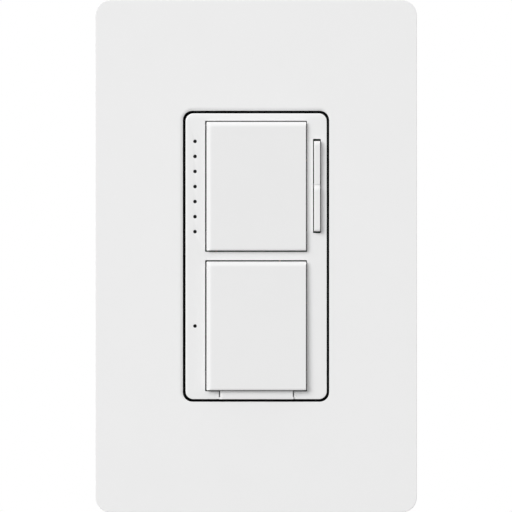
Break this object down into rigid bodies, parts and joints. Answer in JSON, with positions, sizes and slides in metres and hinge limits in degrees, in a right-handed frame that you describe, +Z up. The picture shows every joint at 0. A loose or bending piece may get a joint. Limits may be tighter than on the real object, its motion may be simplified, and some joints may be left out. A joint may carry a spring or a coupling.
{
  "type": "wall dimmer and switch with screwless plate",
  "caption": "Wall control with a dimming tap button, raise and lower rocker and level lights, an on/off tap button and a pull-out service tab, in a screwless plate.",
  "frame": {"origin": "centre of the device on the wall plane, midway between the box screws", "axes": "+Y into the wall, +Z up, +X to the right as seen from the front"},
  "size_m": [0.0746, 0.0424, 0.119],
  "materials": {
    "plate_plastic": "white moulded thermoplastic, satin",
    "bezel_plastic": "white moulded thermoplastic, satin",
    "button_plastic": "white moulded thermoplastic, fine satin",
    "rocker_plastic": "white moulded thermoplastic, satin",
    "adapter_plastic": "pale grey moulded plastic",
    "yoke_metal": "stamped sheet, black anodised",
    "screw_steel": "zinc plated",
    "green_screw": "green dyed earth screw",
    "spring_steel": "spring wire",
    "brass_contact": "bright",
    "terminal_brass": "bright, lightly tarnished",
    "light_pipe": "smoke-tinted moulded plastic, dark when unlit",
    "led_body": "ivory package",
    "circuit_board": "green solder mask",
    "chip_black": "moulded epoxy",
    "small_parts": "ceramic chips",
    "key_case": "moulded nylon",
    "key_plunger": "moulded nylon",
    "carrier_plastic": "moulded nylon",
    "housing_plastic": "dark moulded thermoset",
    "relay_case": "moulded case",
    "ferrite": "pressed and coated core",
    "copper_wire": "enamelled copper wire",
    "film_case": "moulded case",
    "can_sleeve": "sleeved aluminium can",
    "varistor_disc": "epoxy dipped disc",
    "fuse_body": "ceramic body",
    "resistor_body": "painted ceramic",
    "thermal_pad": "silicone pad"
  },
  "bodies": {
    "base": {"wallplate_adapter": "adapter_plastic", "adapter_screws": "screw_steel", "mounting_yoke": "yoke_metal", "box_screws": "screw_steel", "ground_screw": "green_screw", "front_bezel": "bezel_plastic", "dimmer_button_spring": "spring_steel", "switch_button_spring": "spring_steel", "airgap_fixed_contacts": "brass_contact", "level_light_pipe": "light_pipe", "switch_light_pipe": "light_pipe", "level_leds": "led_body", "switch_led": "led_body", "control_board": "circuit_board", "controller_chip": "chip_black", "control_parts": "small_parts", "dimmer_key_body": "key_case", "switch_key_body": "key_case", "raise_key_body": "key_case", "lower_key_body": "key_case", "board_header": "chip_black", "board_carrier": "carrier_plastic", "power_board": "circuit_board", "rear_housing": "housing_plastic", "housing_screws": "screw_steel", "triac": "chip_black", "triac_pad": "thermal_pad", "triac_screw": "screw_steel", "relay": "relay_case", "choke_core": "ferrite", "choke_winding": "copper_wire", "film_capacitor": "film_case", "electrolytic_capacitor": "can_sleeve", "varistor": "varistor_disc", "thermal_fuse": "fuse_body", "power_resistors": "resistor_body", "terminal_plates": "terminal_brass", "terminal_screws": "terminal_brass"},
    "cover": {"wallplate_cover": "plate_plastic"},
    "upper_button": {"dimmer_button": "button_plastic"},
    "lower_button": {"switch_button": "button_plastic"},
    "rocker": {"dim_rocker": "rocker_plastic"},
    "tab": {"service_tab": "bezel_plastic", "airgap_bridge_contact": "brass_contact"},
    "dimmer_plunger": {"dimmer_key_plunger": "key_plunger"},
    "switch_plunger": {"switch_key_plunger": "key_plunger"},
    "raise_plunger": {"raise_key_plunger": "key_plunger"},
    "lower_plunger": {"lower_key_plunger": "key_plunger"}
  },
  "joints": [
    {"name": "dimmer_button_press", "type": "hinge", "parent": "base", "child": "upper_button", "pos_m": [0, -0.005, 0.03015], "axis": [1, 0, 0], "range_deg": [0, 1.6], "stiffness_Nm_per_rad": 0.35, "springref_deg": -1.72, "deforming": ["dimmer_button_spring"]},
    {"name": "switch_button_press", "type": "hinge", "parent": "base", "child": "lower_button", "pos_m": [0, -0.005, -0.00233], "axis": [1, 0, 0], "range_deg": [0, 1.6], "stiffness_Nm_per_rad": 0.35, "springref_deg": -1.72, "deforming": ["switch_button_spring"]},
    {"name": "dim_rocker_tilt", "type": "hinge", "parent": "base", "child": "rocker", "pos_m": [0.01413, -0.0056, 0.01633], "axis": [1, 0, 0], "range_deg": [-3, 3], "stiffness_Nm_per_rad": 0.05},
    {"name": "service_tab_pull", "type": "slide", "parent": "base", "child": "tab", "axis": [0, -1, 0], "range_m": [0, 0.0035]},
    {"name": "cover_snap_off", "type": "slide", "parent": "base", "child": "cover", "axis": [0, -1, 0], "range_m": [0, 0.012]},
    {"name": "dimmer_key_travel", "type": "slide", "parent": "base", "child": "dimmer_plunger", "axis": [0, 1, 0], "range_m": [0, 0.0003]},
    {"name": "switch_key_travel", "type": "slide", "parent": "base", "child": "switch_plunger", "axis": [0, 1, 0], "range_m": [0, 0.0003]},
    {"name": "raise_key_travel", "type": "slide", "parent": "base", "child": "raise_plunger", "axis": [0, 1, 0], "range_m": [0, 0.00025], "stiffness_N_per_m": 200},
    {"name": "lower_key_travel", "type": "slide", "parent": "base", "child": "lower_plunger", "axis": [0, 1, 0], "range_m": [0, 0.00025], "stiffness_N_per_m": 200}
  ],
  "couplings": [
    {"joint": "dimmer_key_travel", "follows": "dimmer_button_press", "m_per_rad": 0.01},
    {"joint": "switch_key_travel", "follows": "switch_button_press", "m_per_rad": 0.01}
  ]
}
